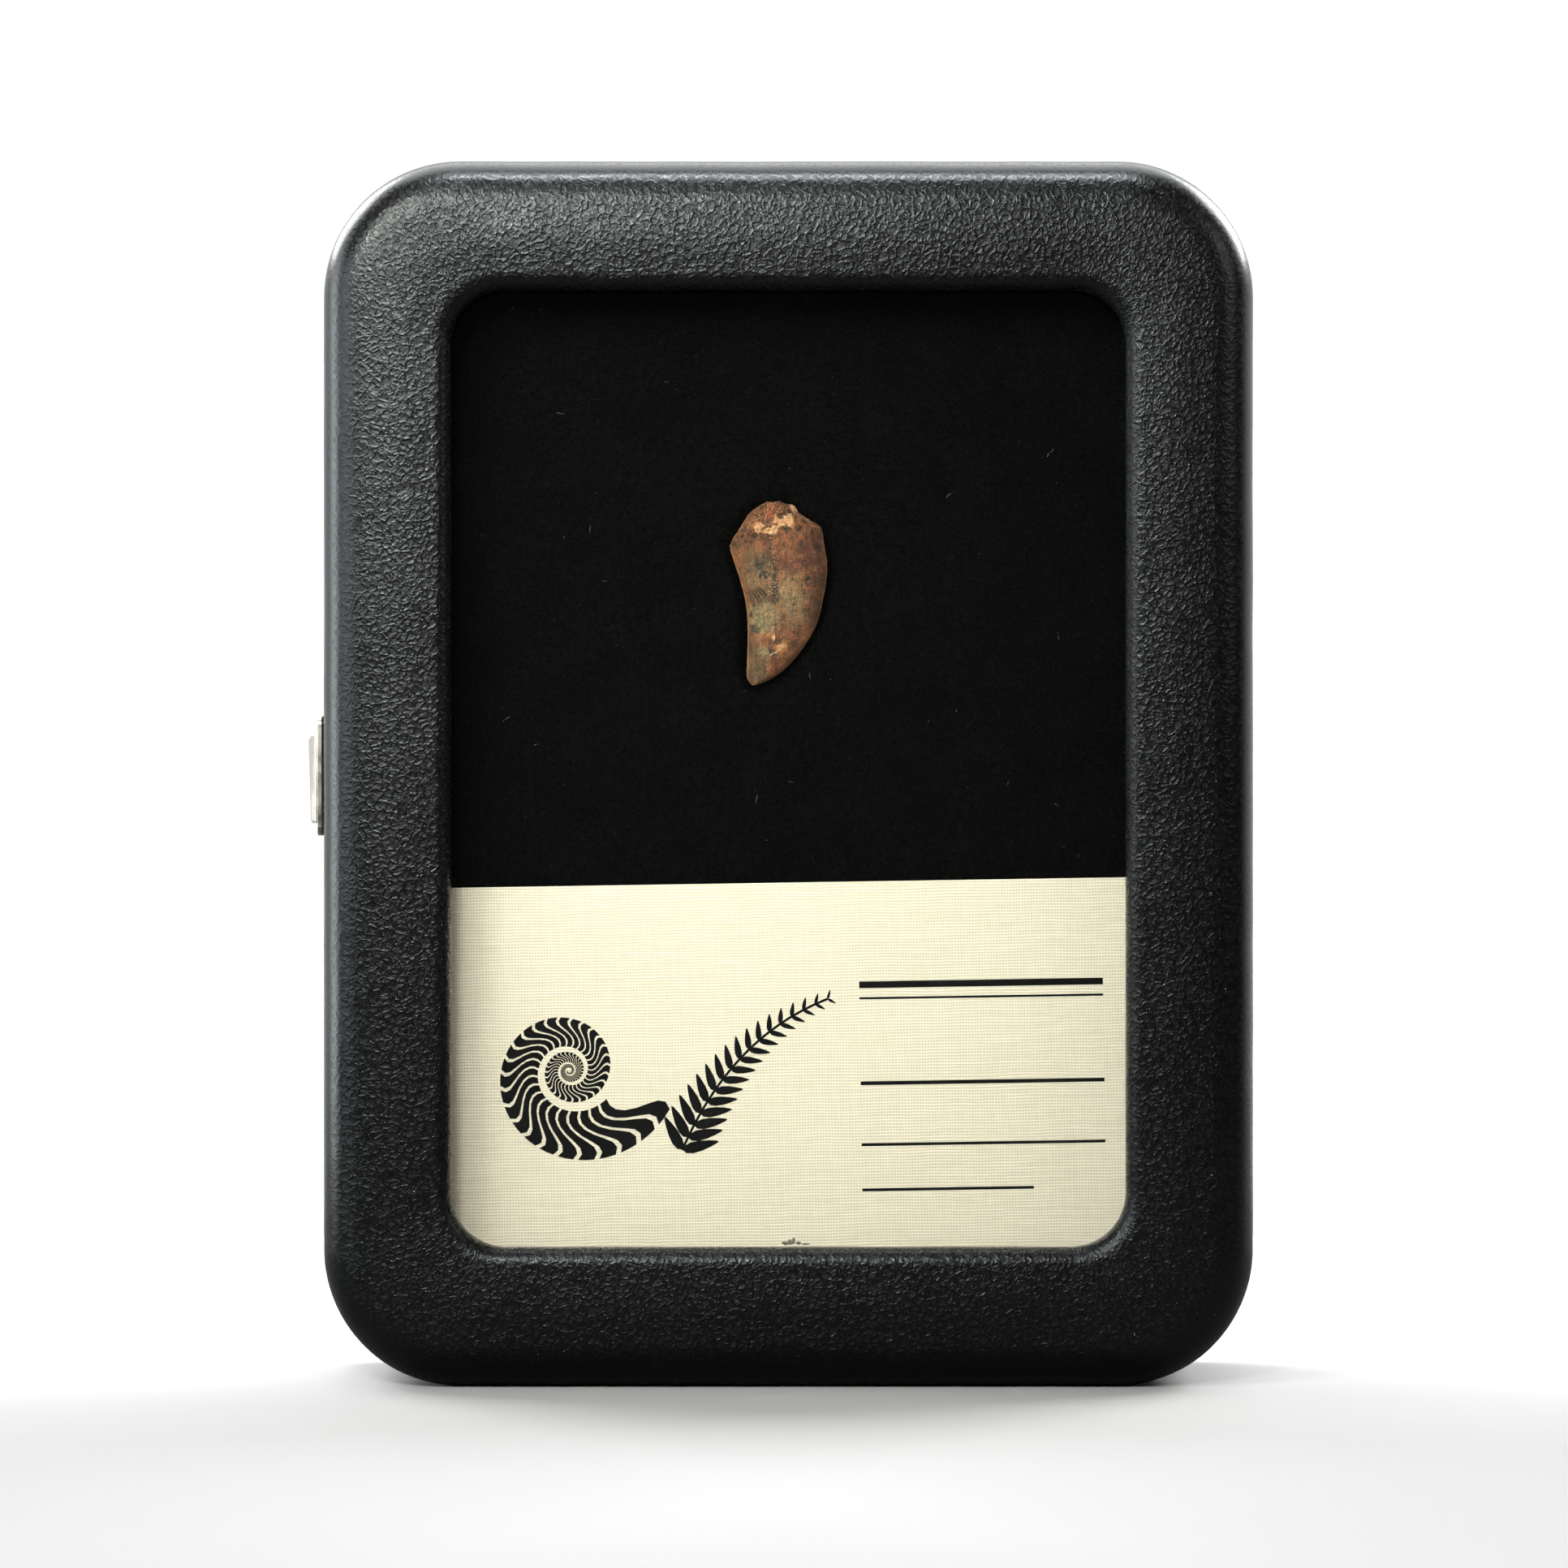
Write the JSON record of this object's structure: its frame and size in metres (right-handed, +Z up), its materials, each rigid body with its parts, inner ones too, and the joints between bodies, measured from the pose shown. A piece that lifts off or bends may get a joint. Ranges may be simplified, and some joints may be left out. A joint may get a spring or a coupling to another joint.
{
  "type": "fossil raptor tooth",
  "caption": "Fossil raptor tooth on velvet foam above a label card, in an upright black leatherette case with a hinged, glazed lid and a snap clasp.",
  "frame": {"origin": "on the floor under the middle of the whole outline, clasp included, with the case standing on its narrow lower side", "axes": "+X to the right with the clasp on the left, +Y from the window to the back, +Z up"},
  "size_m": [0.0838, 0.027, 0.108],
  "materials": {
    "leatherette": "black pebble-grain leatherette, satin",
    "window_glass": "clear, polished",
    "lining_board": "black paper-faced board, matt",
    "velvet_foam": "black velvet over foam",
    "fossil_enamel": "brown mineralised enamel with pale matrix, semi-gloss",
    "label_paper": "cream linen-textured card, matt",
    "nickel_plate": "nickel plated spring steel, bright",
    "hinge_steel": "plain steel"
  },
  "bodies": {
    "case_base": {"base_shell": "leatherette", "foam_insert": "velvet_foam", "tooth": "fossil_enamel", "label_card": "label_paper", "clasp_keeper": "nickel_plate", "hinge_upper_base_leaf": "hinge_steel", "hinge_upper_pin": "hinge_steel", "hinge_lower_base_leaf": "hinge_steel", "hinge_lower_pin": "hinge_steel"},
    "lid": {"lid_shell": "leatherette", "window_glass": "window_glass", "glass_retainer": "lining_board", "clasp_tongue": "nickel_plate", "hinge_upper_lid_leaf": "hinge_steel", "hinge_lower_lid_leaf": "hinge_steel"}
  },
  "joints": [
    {"name": "lid_hinge", "type": "hinge", "parent": "case_base", "child": "lid", "pos_m": [0.0409, -0.0025, 0.054], "axis": [0, 0, 1], "range_deg": [0, 95]}
  ]
}
